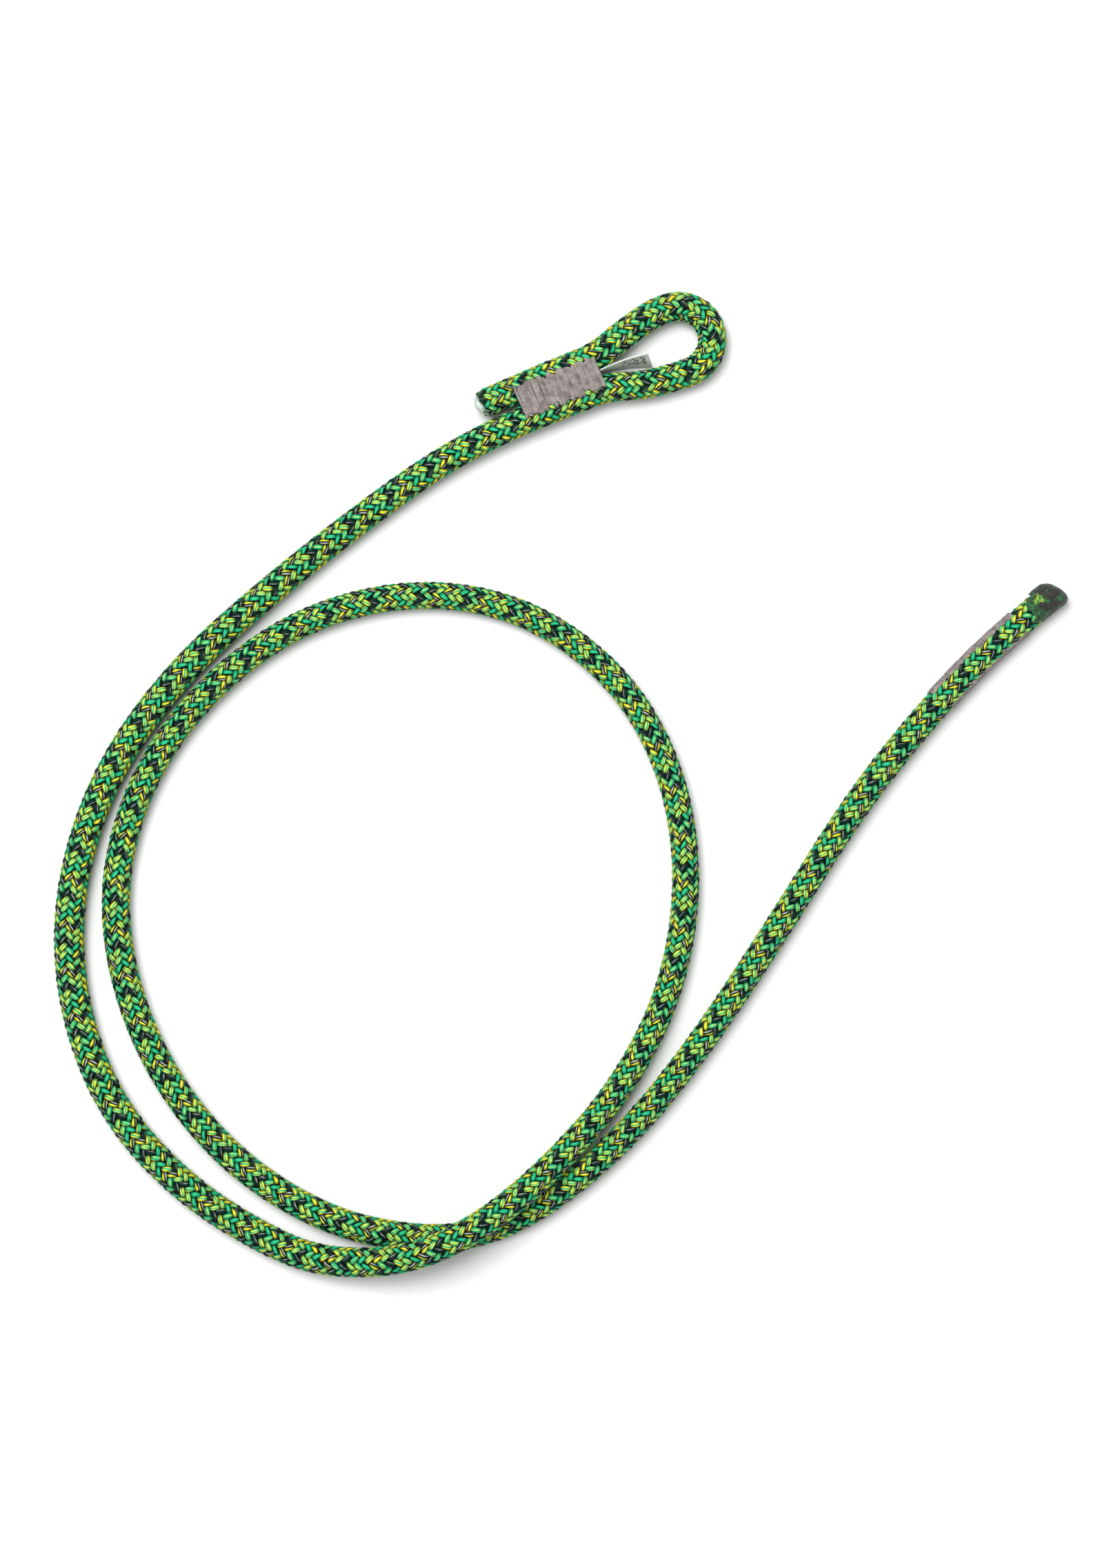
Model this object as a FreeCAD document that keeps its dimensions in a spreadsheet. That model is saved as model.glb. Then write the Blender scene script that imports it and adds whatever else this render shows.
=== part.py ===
import FreeCAD, Part
import math
import os

Vector = FreeCAD.Vector
doc = FreeCAD.newDocument("EyeRope")

# Driving sizes, in millimetres and degrees
SIZES = {
    "rope_diameter": 10.0,
    "sheath_wall": 1.4,
    "core_strand_diameter": 2.3,
    "core_ring_radius": 2.36,
    "stretch_gap": 0.3,
    "leg_spacing": 10.5,
    "leg_centre_height": 5.8,
    "thread_thickness": 0.6,
    "thread_clearance": 0.2,
    "stitch_length": 27.0,
    "stitch_reach": 11.4,
    "valley_height": 3.87,
    "tail_thread_length": 36.8,
    "tail_thread_start": 50.7,
    "tail_thread_clearance": 0.05,
    "tail_thread_thickness": 0.5,
    "tail_thread_half_angle": 42.0,
    "stub_cap_height": 2.2,
    "stub_cap_round": 1.7,
    "tail_cap_radius": 5.4,
    "tail_cap_height": 3.4,
    "tail_cap_round": 1.9,
    "tail_skirt_length": 3.5,
    "tail_skirt_clearance": 0.05,
    "label_height": 10.0,
    "label_thickness": 0.4,
}

# Centre line of the rope, seen from above with the eye at the top: X to the right, Y up the
# page, Z the height above the surface that it lies on. It starts at the cut stub beside the
# eye, runs round the eye and ends at the free tail.
STUB_LEG = [
    (-25.4, 127.4, 5.8),
    (-12.8, 132.8, 5.8),
    (-0.4, 138.0, 5.8),
    (12.2, 142.8, 5.8),
    (21.8, 151.0, 5.4),
    (31.7, 158.0, 5.0),
]
CROWN = [
    (40.5, 160.8, 5.0),
    (48.9, 156.7, 5.0),
    (51.8, 148.0, 5.0),
    (47.8, 139.7, 5.0),
    (39.1, 136.4, 5.0),
]
LONG_LEG = [
    (27.7, 133.4, 5.4),
    (15.6, 132.8, 5.8),
    (3.6, 128.0, 5.8),
    (-14.1, 121.1, 5.8),
]
LEADER = [
    (-36.6, 110.0, 5.0),
    (-58.7, 95.1, 4.5),
    (-94.5, 67.4, 4.5),
]
OUTER_LEFT = [
    (-128.6, 37.1, 4.5),
    (-152.9, 2.7, 4.5),
    (-164.8, -35.5, 4.5),
    (-164.0, -72.5, 4.5),
    (-151.0, -108.2, 4.5),
    (-125.8, -136.3, 4.5),
]
# The first pass climbs over the second one, with two points at the top of the hump
OVER_CROSSING = [
    (-93.5, -155.8, 4.5),
    (-74.0, -160.3, 8.5),
    (-48.5, -157.9, 15.5),
    (-25.5, -146.7, 15.5),
    (-3.0, -128.3, 11.5),
    (20.9, -101.9, 4.5),
]
RIGHT_AND_TOP = [
    (37.6, -69.2, 4.5),
    (43.6, -31.5, 4.5),
    (37.6, 5.5, 4.5),
    (19.8, 36.2, 4.5),
    (-10.5, 58.3, 4.5),
    (-46.0, 65.0, 4.5),
    (-83.0, 57.0, 4.5),
]
INNER_LEFT = [
    (-113.8, 36.6, 4.5),
    (-137.3, 8.0, 4.5),
    (-149.6, -27.5, 4.5),
    (-147.6, -62.5, 4.5),
    (-134.0, -97.0, 4.5),
    (-110.5, -126.3, 4.5),
    (-79.5, -145.9, 4.5),
]
UNDER_CROSSING = [
    (-50.5, -152.6, 4.5),
    (-28.0, -151.6, 4.5),
    (-4.0, -140.4, 4.5),
]
TAIL = [
    (24.0, -116.5, 4.5),
    (48.5, -85.6, 4.5),
    (74.4, -46.0, 4.5),
    (98.6, -7.2, 4.5),
    (121.5, 21.8, 4.5),
    (145.0, 46.8, 4.5),
    (164.3, 62.7, 4.5),
]
ROUTE = (
    STUB_LEG + CROWN + LONG_LEG + LEADER + OUTER_LEFT + OVER_CROSSING
    + RIGHT_AND_TOP + INNER_LEFT + UNDER_CROSSING + TAIL
)

# Runs of the route, each named by its first point, at whose middle one stretch ends
EYE_STRETCH_ENDS_ON = LEADER[0]
EYE_BEND_ENDS_ON = LEADER[2]
LOOP_ENDS_ON = TAIL[0]
TAIL_BEND_ENDS_ON = TAIL[2]

ARC_SHARE_OF_RUN = 0.45
CORE_STRANDS_ROUND = 6
UP = Vector(0, 0, 1)

# The sewn part of the eye: its middle, and the way the two legs lie side by side there
STITCH_MIDDLE = Vector(-1.4, 131.8, 0)
LEG_DIRECTION = Vector(0.930, 0.3665, 0).normalize()

# The label comes out of the throat of the eye and leans over towards its tip
LABEL_ROOT = Vector(15.6, 138.9, 0.6)
LABEL_TIP_TOP = Vector(29.3, 143.7, 9.7)
LABEL_TIP_BOTTOM = Vector(30.9, 139.9, 0.8)

sheet = doc.addObject("Spreadsheet::Sheet", "Sizes")
for row, (alias, value) in enumerate(SIZES.items(), start=1):
    sheet.set(f"A{row}", alias)
    sheet.set(f"B{row}", str(value))
    sheet.setAlias(f"B{row}", alias)
doc.recompute()


def size(alias):
    return float(sheet.get(alias))


def bind(obj, **expressions):
    """Ties an object's sizes to cells of the sheet."""
    for name, expression in expressions.items():
        obj.setExpression(name, expression)
    return obj


def route_edges():
    """The route as straight runs joined by tangent arcs, with the arcs' radii."""
    points = [Vector(*p) for p in ROUTE]
    edges, radii = [], []
    here = points[0]
    for before, corner, after in zip(points, points[1:], points[2:]):
        back = (before - corner).normalize()
        ahead = (after - corner).normalize()
        turn = math.pi - back.getAngle(ahead)
        run = min((corner - before).Length, (after - corner).Length)
        reach = ARC_SHARE_OF_RUN * run
        radius = reach / math.tan(turn / 2)
        start = corner + back * reach
        end = corner + ahead * reach
        inward = (back + ahead).normalize()
        middle = corner + inward * (radius / math.cos(turn / 2) - radius)
        edges.append(Part.LineSegment(here, start).toShape())
        edges.append(Part.Arc(start, middle, end).toShape())
        radii.append(radius)
        here = end
    edges.append(Part.LineSegment(here, points[-1]).toShape())
    return edges, radii


EDGES, RADII = route_edges()
ROUTE_LENGTH = sum(edge.Length for edge in EDGES)


def length_to_middle_of_run(first_point):
    """Distance along the route to the middle of the run that starts at a named point."""
    run = ROUTE.index(first_point)
    return sum(edge.Length for edge in EDGES[: 2 * run]) + EDGES[2 * run].Length / 2


def piece_of_edge(edge, start, end):
    """The part of one line or arc between two distances from its beginning."""
    if start <= 0 and end >= edge.Length:
        return edge
    first = edge.getParameterByLength(max(start, 0))
    last = edge.getParameterByLength(min(end, edge.Length))
    return edge.Curve.toShape(first, last)


def piece_of_route(start, end):
    """The wire of the route between two distances from the stub."""
    pieces, passed = [], 0.0
    for edge in EDGES:
        low, high = start - passed, end - passed
        if high > 1e-6 and low < edge.Length - 1e-6:
            pieces.append(piece_of_edge(edge, low, high))
        passed += edge.Length
    return Part.Wire(pieces)


def point_and_direction(distance):
    """Where the route is, and where it heads, at a distance from the stub."""
    passed = 0.0
    for edge in EDGES:
        if distance <= passed + edge.Length + 1e-9:
            parameter = edge.getParameterByLength(min(distance - passed, edge.Length))
            return edge.valueAt(parameter), edge.tangentAt(parameter)
        passed += edge.Length


def across(distance):
    """Placement square to the route: local X to its left, Y upwards, Z along it."""
    point, ahead = point_and_direction(distance)
    left = UP.cross(ahead).normalize()
    upright = ahead.cross(left)
    turned = FreeCAD.Rotation(left, upright, ahead, "ZXY")
    return FreeCAD.Placement(point, turned)


def wire_object(name, shape):
    obj = doc.addObject("Part::Feature", name)
    obj.Shape = shape
    return obj


def swept(name, section, spine):
    sweep = doc.addObject("Part::Sweep", name)
    sweep.Sections = [section]
    sweep.Spine = (spine, [f"Edge{i + 1}" for i in range(len(spine.Shape.Edges))])
    sweep.Solid = True
    sweep.Frenet = False
    return sweep


def circle(name, placement, radius_expression, offset=Vector(0, 0, 0)):
    ring = doc.addObject("Part::Circle", name)
    ring.Placement = placement * FreeCAD.Placement(offset, FreeCAD.Rotation())
    return bind(ring, Radius=radius_expression)


def labelled(obj, node):
    obj.Label = node
    return obj


def boolean(kind, name, base, tool):
    obj = doc.addObject(f"Part::{kind}", name)
    obj.Base = base
    obj.Tool = tool
    return obj


floor_block = doc.addObject("Part::Box", "below_the_surface")
floor_block.Length = 400
floor_block.Width = 400
floor_block.Height = 5
floor_block.Placement.Base = Vector(-200, -200, -5)


def sheath_stretch(node, start, end):
    """A hollow sleeve along the route, cut flat where it lies on the surface."""
    spine = wire_object(f"{node}_line", piece_of_route(start, end))
    placement = across(start)
    outer = circle(f"{node}_outside", placement, "Sizes.rope_diameter / 2")
    inner = circle(f"{node}_inside", placement, "Sizes.rope_diameter / 2 - Sizes.sheath_wall")
    solid = swept(f"{node}_solid", outer, spine)
    bore = swept(f"{node}_bore", inner, spine)
    sleeve = boolean("Cut", f"{node}_sleeve", solid, bore)
    return labelled(boolean("Cut", f"{node}_flat", sleeve, floor_block), node)


def core_offsets():
    """Places of the core strands in the rope's section: one in the middle, the rest round it."""
    ring = size("core_ring_radius")
    turns = [2 * math.pi * i / CORE_STRANDS_ROUND for i in range(CORE_STRANDS_ROUND)]
    return [Vector(0, 0, 0)] + [Vector(ring * math.cos(a), ring * math.sin(a), 0) for a in turns]


def core_strands(name, start, end):
    """All the core strands of one stretch, each a solid of its own."""
    spine = wire_object(f"{name}_line", piece_of_route(start, end))
    placement = across(start)
    strands = []
    for number, offset in enumerate(core_offsets(), start=1):
        section = circle(f"{name}_ring_{number}", placement, "Sizes.core_strand_diameter / 2", offset)
        strands.append(swept(f"{name}_{number}", section, spine))
    return strands


def grouped(node, strands):
    group = doc.addObject("Part::Compound", f"{node}_group")
    group.Links = strands
    return labelled(group, node)


def leg_cylinder(name, side, radius_expression):
    """A cylinder round one leg of the eye, along the sewn part."""
    cylinder = doc.addObject("Part::Cylinder", name)
    bind(cylinder, Radius=radius_expression, Height="Sizes.stitch_length")
    beside = UP.cross(LEG_DIRECTION) * (side * size("leg_spacing") / 2)
    low_end = STITCH_MIDDLE - LEG_DIRECTION * (size("stitch_length") / 2)
    base = low_end + beside + UP * size("leg_centre_height")
    cylinder.Placement = FreeCAD.Placement(base, FreeCAD.Rotation(UP, LEG_DIRECTION))
    return cylinder


def stitch_box(name, width, height, bottom):
    """A box along the sewn part, from cells or plain sizes, with its lowest face at bottom."""
    box = doc.addObject("Part::Box", name)
    bind(box, Length="Sizes.stitch_length", Width=width, Height=height)
    beside = UP.cross(LEG_DIRECTION)
    turn = FreeCAD.Rotation(LEG_DIRECTION, beside, UP, "ZXY")
    doc.recompute()
    low_end = STITCH_MIDDLE - LEG_DIRECTION * (size("stitch_length") / 2)
    base = low_end - beside * (box.Width.Value / 2) + UP * bottom
    box.Placement = FreeCAD.Placement(base, turn)
    return box


def eye_stitching(node, upper):
    """A blanket of thread over the valley between the legs, or under it."""
    under = "Sizes.rope_diameter / 2 + Sizes.thread_clearance"
    over = f"{under} + Sizes.thread_thickness"
    outer = boolean(
        "Fuse", f"{node}_over",
        leg_cylinder(f"{node}_over_a", 1, over), leg_cylinder(f"{node}_over_b", -1, over),
    )
    inner = boolean(
        "Fuse", f"{node}_under",
        leg_cylinder(f"{node}_under_a", 1, under), leg_cylinder(f"{node}_under_b", -1, under),
    )
    shell = boolean("Cut", f"{node}_shell", outer, inner)
    centre = size("leg_centre_height")
    valley = size("valley_height")
    bridge_width = size("leg_spacing") - 2 * math.sqrt(
        (size("rope_diameter") / 2 + size("thread_clearance")) ** 2 - valley**2
    )
    reach = size("rope_diameter")
    window_low = centre + valley if upper else centre - valley - reach
    window = stitch_box(f"{node}_window", "Sizes.stitch_reach", "Sizes.rope_diameter", window_low)
    bands = boolean("Common", f"{node}_bands", shell, window)
    bridge_low = centre + valley if upper else centre - valley - size("thread_thickness")
    bridge = stitch_box(f"{node}_bridge", str(bridge_width), "Sizes.thread_thickness", bridge_low)
    return labelled(boolean("Fuse", f"{node}_blanket", bands, bridge), node)


def sector(placement, inner, outer, middle_angle, half_angle):
    """Outline of a band that hugs the rope's side, in the section's plane."""
    def at(radius, degrees):
        angle = math.radians(degrees)
        local = Vector(radius * math.cos(angle), radius * math.sin(angle), 0)
        return placement.multVec(local)

    low, high = middle_angle - half_angle, middle_angle + half_angle
    return Part.Wire([
        Part.Arc(at(outer, low), at(outer, middle_angle), at(outer, high)).toShape(),
        Part.LineSegment(at(outer, high), at(inner, high)).toShape(),
        Part.Arc(at(inner, high), at(inner, middle_angle), at(inner, low)).toShape(),
        Part.LineSegment(at(inner, low), at(outer, low)).toShape(),
    ])


def tail_stitching(node, middle_angle):
    """A sewn band along one side of the tail."""
    start = ROUTE_LENGTH - size("tail_thread_start")
    spine = wire_object(f"{node}_line", piece_of_route(start, start + size("tail_thread_length")))
    inner = size("rope_diameter") / 2 + size("tail_thread_clearance")
    outer = inner + size("tail_thread_thickness")
    outline = sector(across(start), inner, outer, middle_angle, size("tail_thread_half_angle"))
    return labelled(swept(f"{node}_band", wire_object(f"{node}_outline", outline), spine), node)


def rounded_disc(name, placement, radius_expression, height_expression, round_alias):
    """A short cylinder along local Z whose far edge is rounded off."""
    disc = doc.addObject("Part::Cylinder", f"{name}_disc")
    bind(disc, Radius=radius_expression, Height=height_expression)
    disc.Placement = placement
    doc.recompute()
    far = placement.multVec(Vector(0, 0, disc.Height.Value))
    edge_number = next(
        i for i, edge in enumerate(disc.Shape.Edges, start=1)
        if edge.Closed and edge.Curve.Center.distanceToPoint(far) < 1e-6
    )
    softened = doc.addObject("Part::Fillet", f"{name}_rounded")
    softened.Base = disc
    softened.Edges = [(edge_number, size(round_alias), size(round_alias))]
    return softened


def turned_back(placement):
    """The same place with local Z pointing the other way."""
    return placement * FreeCAD.Placement(Vector(), FreeCAD.Rotation(Vector(1, 0, 0), 180))


def stub_end_cap():
    """The hot-cut end of the stub: core and sheath fused into a shallow dome."""
    place = turned_back(across(0))
    cap = rounded_disc("stub_end_cap", place, "Sizes.rope_diameter / 2", "Sizes.stub_cap_height",
                       "stub_cap_round")
    return labelled(cap, "stub_end_cap")


def tail_end_cap():
    """The melted end of the tail, with a skirt that has run back over the sheath."""
    place = across(ROUTE_LENGTH)
    disc = rounded_disc("tail_end_cap", place, "Sizes.tail_cap_radius", "Sizes.tail_cap_height",
                        "tail_cap_round")
    back = FreeCAD.Placement(Vector(0, 0, -size("tail_skirt_length")), FreeCAD.Rotation())
    outside = doc.addObject("Part::Cylinder", "tail_skirt_outside")
    bind(outside, Radius="Sizes.tail_cap_radius", Height="Sizes.tail_skirt_length")
    outside.Placement = place * back
    inside = doc.addObject("Part::Cylinder", "tail_skirt_inside")
    bind(inside, Radius="Sizes.rope_diameter / 2 + Sizes.tail_skirt_clearance",
         Height="Sizes.tail_skirt_length")
    inside.Placement = place * back
    skirt = boolean("Cut", "tail_skirt", outside, inside)
    whole = boolean("Fuse", "tail_cap_whole", disc, skirt)
    return labelled(boolean("Cut", "tail_cap_flat", whole, floor_block), "tail_end_cap")


def strip_end(top, bottom, along):
    """A thin rectangle from top to bottom, square to the label's face."""
    half = along.cross(top - bottom).normalize() * (size("label_thickness") / 2)
    return Part.makePolygon([bottom - half, top - half, top + half, bottom + half, bottom - half])


def label():
    """The flat label, upright where it comes out of the throat and leaning at its tip."""
    along = (LABEL_TIP_TOP + LABEL_TIP_BOTTOM) * 0.5 - LABEL_ROOT
    along.z = 0
    along.normalize()
    root_top = LABEL_ROOT + UP * size("label_height")
    strip = doc.addObject("Part::Feature", "label_strip")
    root_end = strip_end(root_top, LABEL_ROOT, along)
    tip_end = strip_end(LABEL_TIP_TOP, LABEL_TIP_BOTTOM, along)
    strip.Shape = Part.makeLoft([root_end, tip_end], True, True)
    return labelled(strip, "label")


def least_gap_to_itself(step=1.0, apart=40.0):
    """Smallest clearance between passes of the rope, measured on points of its centre line."""
    count = int(ROUTE_LENGTH / step)
    points = [point_and_direction(i * step)[0] for i in range(count)]
    skip = int(apart / step)
    best = None
    for i, first in enumerate(points):
        for j in range(i + skip, count):
            second = points[j]
            if abs(first.x - second.x) < 14 and abs(first.y - second.y) < 14:
                distance = first.distanceToPoint(second)
                if best is None or distance < best[0]:
                    best = (distance, first, second)
    return best[0] - size("rope_diameter"), best[1], best[2]


eye_end = length_to_middle_of_run(EYE_STRETCH_ENDS_ON)
eye_bend_end = length_to_middle_of_run(EYE_BEND_ENDS_ON)
loop_end = length_to_middle_of_run(LOOP_ENDS_ON)
tail_bend_end = length_to_middle_of_run(TAIL_BEND_ENDS_ON)
half_gap = size("stretch_gap") / 2

# Start and end of each stretch; only neighbours on different bodies keep a gap
STRETCHES = {
    "eye": (0.0, eye_end - half_gap),
    "eye_bend": (eye_end + half_gap, eye_bend_end),
    "loop": (eye_bend_end, loop_end),
    "tail_bend": (loop_end, tail_bend_end - half_gap),
    "tail": (tail_bend_end + half_gap, ROUTE_LENGTH),
}

nodes = []
for stretch, (start, end) in STRETCHES.items():
    nodes.append(sheath_stretch(f"sheath_{stretch}", start, end))
    if stretch == "loop":
        strands = core_strands("loop_strand", start, end)
        nodes += [labelled(s, f"core_strand_{i}") for i, s in enumerate(strands, start=1)]
    else:
        nodes.append(grouped(f"core_strands_{stretch}", core_strands(f"{stretch}_strand", start, end)))
nodes.append(eye_stitching("eye_stitching_top", True))
nodes.append(eye_stitching("eye_stitching_bottom", False))
nodes.append(tail_stitching("tail_stitching_left", 0.0))
nodes.append(tail_stitching("tail_stitching_right", 180.0))
nodes.append(stub_end_cap())
nodes.append(tail_end_cap())
nodes.append(label())
doc.recompute()

failed = [obj.Name for obj in doc.Objects if {"Invalid", "Error"} & set(obj.State)]
failed += [n.Label for n in nodes if n.Shape.isNull() or not n.Shape.isValid()]
if failed:
    raise RuntimeError(f"failed objects: {failed}")

print("route length", round(ROUTE_LENGTH, 1), "mm, radii", [round(r) for r in RADII])
section = math.pi * size("rope_diameter") ** 2 / 4
bore = math.pi * (size("rope_diameter") / 2 - size("sheath_wall")) ** 2
for stretch, (start, end) in STRETCHES.items():
    sleeve = doc.getObject(f"sheath_{stretch}_sleeve").Shape.Volume
    print("sheath", stretch, round(end - start, 1), "mm, volume over section times length",
          round(sleeve / ((section - bore) * (end - start)), 4))
gap, first, second = least_gap_to_itself()
print("least gap to itself", round(gap, 2), "mm between", first, "and", second)

whole = Part.makeCompound([n.Shape for n in nodes])
print("box", whole.optimalBoundingBox(False, False))
os.makedirs("parts", exist_ok=True)
for node in nodes:
    node.Shape.exportStep(f"parts/{node.Label}.step")
print(len(nodes), "nodes written")
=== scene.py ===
import math
import random

import bmesh
import bpy
import numpy as np
from mathutils import Matrix, Vector


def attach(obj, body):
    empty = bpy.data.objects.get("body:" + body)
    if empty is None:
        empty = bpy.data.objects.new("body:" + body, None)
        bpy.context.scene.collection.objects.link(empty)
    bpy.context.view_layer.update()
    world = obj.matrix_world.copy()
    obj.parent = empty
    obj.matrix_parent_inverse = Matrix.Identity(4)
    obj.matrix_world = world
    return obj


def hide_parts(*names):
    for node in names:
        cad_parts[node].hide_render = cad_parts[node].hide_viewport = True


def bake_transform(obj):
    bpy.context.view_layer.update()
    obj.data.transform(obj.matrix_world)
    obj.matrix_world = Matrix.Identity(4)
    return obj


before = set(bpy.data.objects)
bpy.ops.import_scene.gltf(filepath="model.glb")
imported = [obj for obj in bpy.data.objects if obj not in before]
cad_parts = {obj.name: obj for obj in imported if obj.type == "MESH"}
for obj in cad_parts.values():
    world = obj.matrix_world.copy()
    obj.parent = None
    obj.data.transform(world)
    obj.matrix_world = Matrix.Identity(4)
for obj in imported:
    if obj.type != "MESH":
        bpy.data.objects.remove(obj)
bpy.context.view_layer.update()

# Camera, straight above the rope as the photograph was taken
METRES_PER_PIXEL = 0.000231
PICTURE_HEIGHT = 2274
LENS = 85.0
SENSOR = 36.0
ROPE_MIDDLE_HEIGHT = 0.0045

camera_data = bpy.data.cameras.new("camera")
camera_data.lens = LENS
camera_data.sensor_width = SENSOR
camera = bpy.data.objects.new("camera", camera_data)
camera.location.z = PICTURE_HEIGHT * METRES_PER_PIXEL * LENS / SENSOR + ROPE_MIDDLE_HEIGHT
bpy.context.scene.collection.objects.link(camera)
bpy.context.scene.camera = camera
bpy.context.scene.view_settings.view_transform = "Standard"

# Route of the rope's centre line in metres, from the cut stub round the eye to the free tail
STUB_LEG = [
    (-0.0254, 0.1274, 0.0058),
    (-0.0128, 0.1328, 0.0058),
    (-0.0004, 0.1380, 0.0058),
    (0.0122, 0.1428, 0.0058),
    (0.0218, 0.1510, 0.0054),
    (0.0317, 0.1580, 0.0050),
]
CROWN = [
    (0.0405, 0.1608, 0.0050),
    (0.0489, 0.1567, 0.0050),
    (0.0518, 0.1480, 0.0050),
    (0.0478, 0.1397, 0.0050),
    (0.0391, 0.1364, 0.0050),
]
LONG_LEG = [
    (0.0277, 0.1334, 0.0054),
    (0.0156, 0.1328, 0.0058),
    (0.0036, 0.1280, 0.0058),
    (-0.0141, 0.1211, 0.0058),
]
LEADER = [
    (-0.0366, 0.1100, 0.0050),
    (-0.0587, 0.0951, 0.0045),
    (-0.0945, 0.0674, 0.0045),
]
OUTER_LEFT = [
    (-0.1286, 0.0371, 0.0045),
    (-0.1529, 0.0027, 0.0045),
    (-0.1648, -0.0355, 0.0045),
    (-0.1640, -0.0725, 0.0045),
    (-0.1510, -0.1082, 0.0045),
    (-0.1258, -0.1363, 0.0045),
]
OVER_CROSSING = [
    (-0.0935, -0.1558, 0.0045),
    (-0.0740, -0.1603, 0.0085),
    (-0.0485, -0.1579, 0.0155),
    (-0.0255, -0.1467, 0.0155),
    (-0.0030, -0.1283, 0.0115),
    (0.0209, -0.1019, 0.0045),
]
RIGHT_AND_TOP = [
    (0.0376, -0.0692, 0.0045),
    (0.0436, -0.0315, 0.0045),
    (0.0376, 0.0055, 0.0045),
    (0.0198, 0.0362, 0.0045),
    (-0.0105, 0.0583, 0.0045),
    (-0.0460, 0.0650, 0.0045),
    (-0.0830, 0.0570, 0.0045),
]
INNER_LEFT = [
    (-0.1138, 0.0366, 0.0045),
    (-0.1373, 0.0080, 0.0045),
    (-0.1496, -0.0275, 0.0045),
    (-0.1476, -0.0625, 0.0045),
    (-0.1340, -0.0970, 0.0045),
    (-0.1105, -0.1263, 0.0045),
    (-0.0795, -0.1459, 0.0045),
]
UNDER_CROSSING = [
    (-0.0505, -0.1526, 0.0045),
    (-0.0280, -0.1516, 0.0045),
    (-0.0040, -0.1404, 0.0045),
]
TAIL = [
    (0.0240, -0.1165, 0.0045),
    (0.0485, -0.0856, 0.0045),
    (0.0744, -0.0460, 0.0045),
    (0.0986, -0.0072, 0.0045),
    (0.1215, 0.0218, 0.0045),
    (0.1450, 0.0468, 0.0045),
    (0.1643, 0.0627, 0.0045),
]
ROUTE = (
    STUB_LEG + CROWN + LONG_LEG + LEADER + OUTER_LEFT + OVER_CROSSING
    + RIGHT_AND_TOP + INNER_LEFT + UNDER_CROSSING + TAIL
)

# The stretches that ride together meet in the middle of these runs of the route
EYE_TURNS_FROM = LEADER[2]
EYE_TURNS_TO = LEADER[0]
TAIL_TURNS_FROM = TAIL[0]
TAIL_TURNS_TO = TAIL[2]

SPARE_LINE = 0.015
LINE_STEPS = 40
SOFT_HEIGHT = 0.0008

# Radius of the rope at distances from the stub, where it is tucked in under the fused dome. It
# lies slacker and wider on the left
RADIUS_ALONG = [
    (-0.001, 0.00425), (0.001, 0.00484), (0.045, 0.00510), (0.090, 0.00492), (0.200, 0.00490),
    (0.270, 0.00497), (0.360, 0.00505), (0.420, 0.00522), (0.480, 0.00530), (0.540, 0.00522),
    (0.600, 0.00488), (0.660, 0.00466), (0.930, 0.00464), (1.020, 0.00480), (1.080, 0.00493),
    (1.150, 0.00502), (1.240, 0.00482), (1.300, 0.00466), (1.400, 0.00472), (1.450, 0.00484),
    (1.532, 0.00482),
]
NAMED_RADIUS = 0.0050


def interpolated(table, distance):
    """Values listed at a few distances along the rope, read at others."""
    places, values = zip(*table)
    return np.interp(distance, places, values)


def route_line():
    """Points along the smooth curve that the route's points control."""
    curve = bpy.data.curves.new("rope_line", "CURVE")
    curve.dimensions = "3D"
    curve.resolution_u = LINE_STEPS
    spline = curve.splines.new("NURBS")
    spline.points.add(len(ROUTE) - 1)
    for point, place in zip(spline.points, ROUTE):
        point.co = (*place, 1.0)
    spline.order_u = 3
    spline.use_endpoint_u = True
    holder = bpy.data.objects.new("rope_line", curve)
    mesh = bpy.data.meshes.new_from_object(holder)
    line = np.array([vertex.co for vertex in mesh.vertices], float)
    bpy.data.meshes.remove(mesh)
    bpy.data.curves.remove(curve)
    return line


def unit(vectors):
    return vectors / np.linalg.norm(vectors, axis=-1, keepdims=True)


def lengths_along(line):
    steps = np.linalg.norm(np.diff(line, axis=0), axis=1)
    return np.concatenate([[0.0], np.cumsum(steps)])


LINE = route_line()
ROPE_LENGTH = lengths_along(LINE)[-1]

# The line runs on straight past both ends, so that the end pieces have a direction to follow
BEFORE_STUB = LINE[0] - unit(LINE[1] - LINE[0]) * SPARE_LINE
PAST_TAIL = LINE[-1] + unit(LINE[-1] - LINE[-2]) * SPARE_LINE
MIDDLE = np.vstack([BEFORE_STUB, LINE, PAST_TAIL])
DISTANCE = lengths_along(MIDDLE) - SPARE_LINE
AHEAD = unit(np.gradient(MIDDLE, DISTANCE, axis=0))
LEFT = unit(np.cross([0.0, 0.0, 1.0], AHEAD))
UPRIGHT = np.cross(AHEAD, LEFT)


STUB_END, STUB_OUTWARDS = LINE[0], -AHEAD[1]
TAIL_END, TAIL_OUTWARDS = LINE[-1], AHEAD[-2]


def middle_of_run(first_point):
    start = ROUTE.index(first_point)
    return (np.array(ROUTE[start]) + np.array(ROUTE[start + 1])) / 2


def distance_of(place):
    return DISTANCE[np.linalg.norm(MIDDLE - place, axis=1).argmin()]


def read_along(table, distance):
    """Vectors kept at DISTANCE, read at other distances."""
    return np.stack([np.interp(distance, DISTANCE, table[:, axis]) for axis in range(3)], axis=-1)


def settled(place):
    """Flattens what would sink into the floor, as the rope's own weight does."""
    low = place[:, 2] < SOFT_HEIGHT
    place[low, 2] = SOFT_HEIGHT * np.exp(place[low, 2] / SOFT_HEIGHT - 1)
    return place


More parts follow.
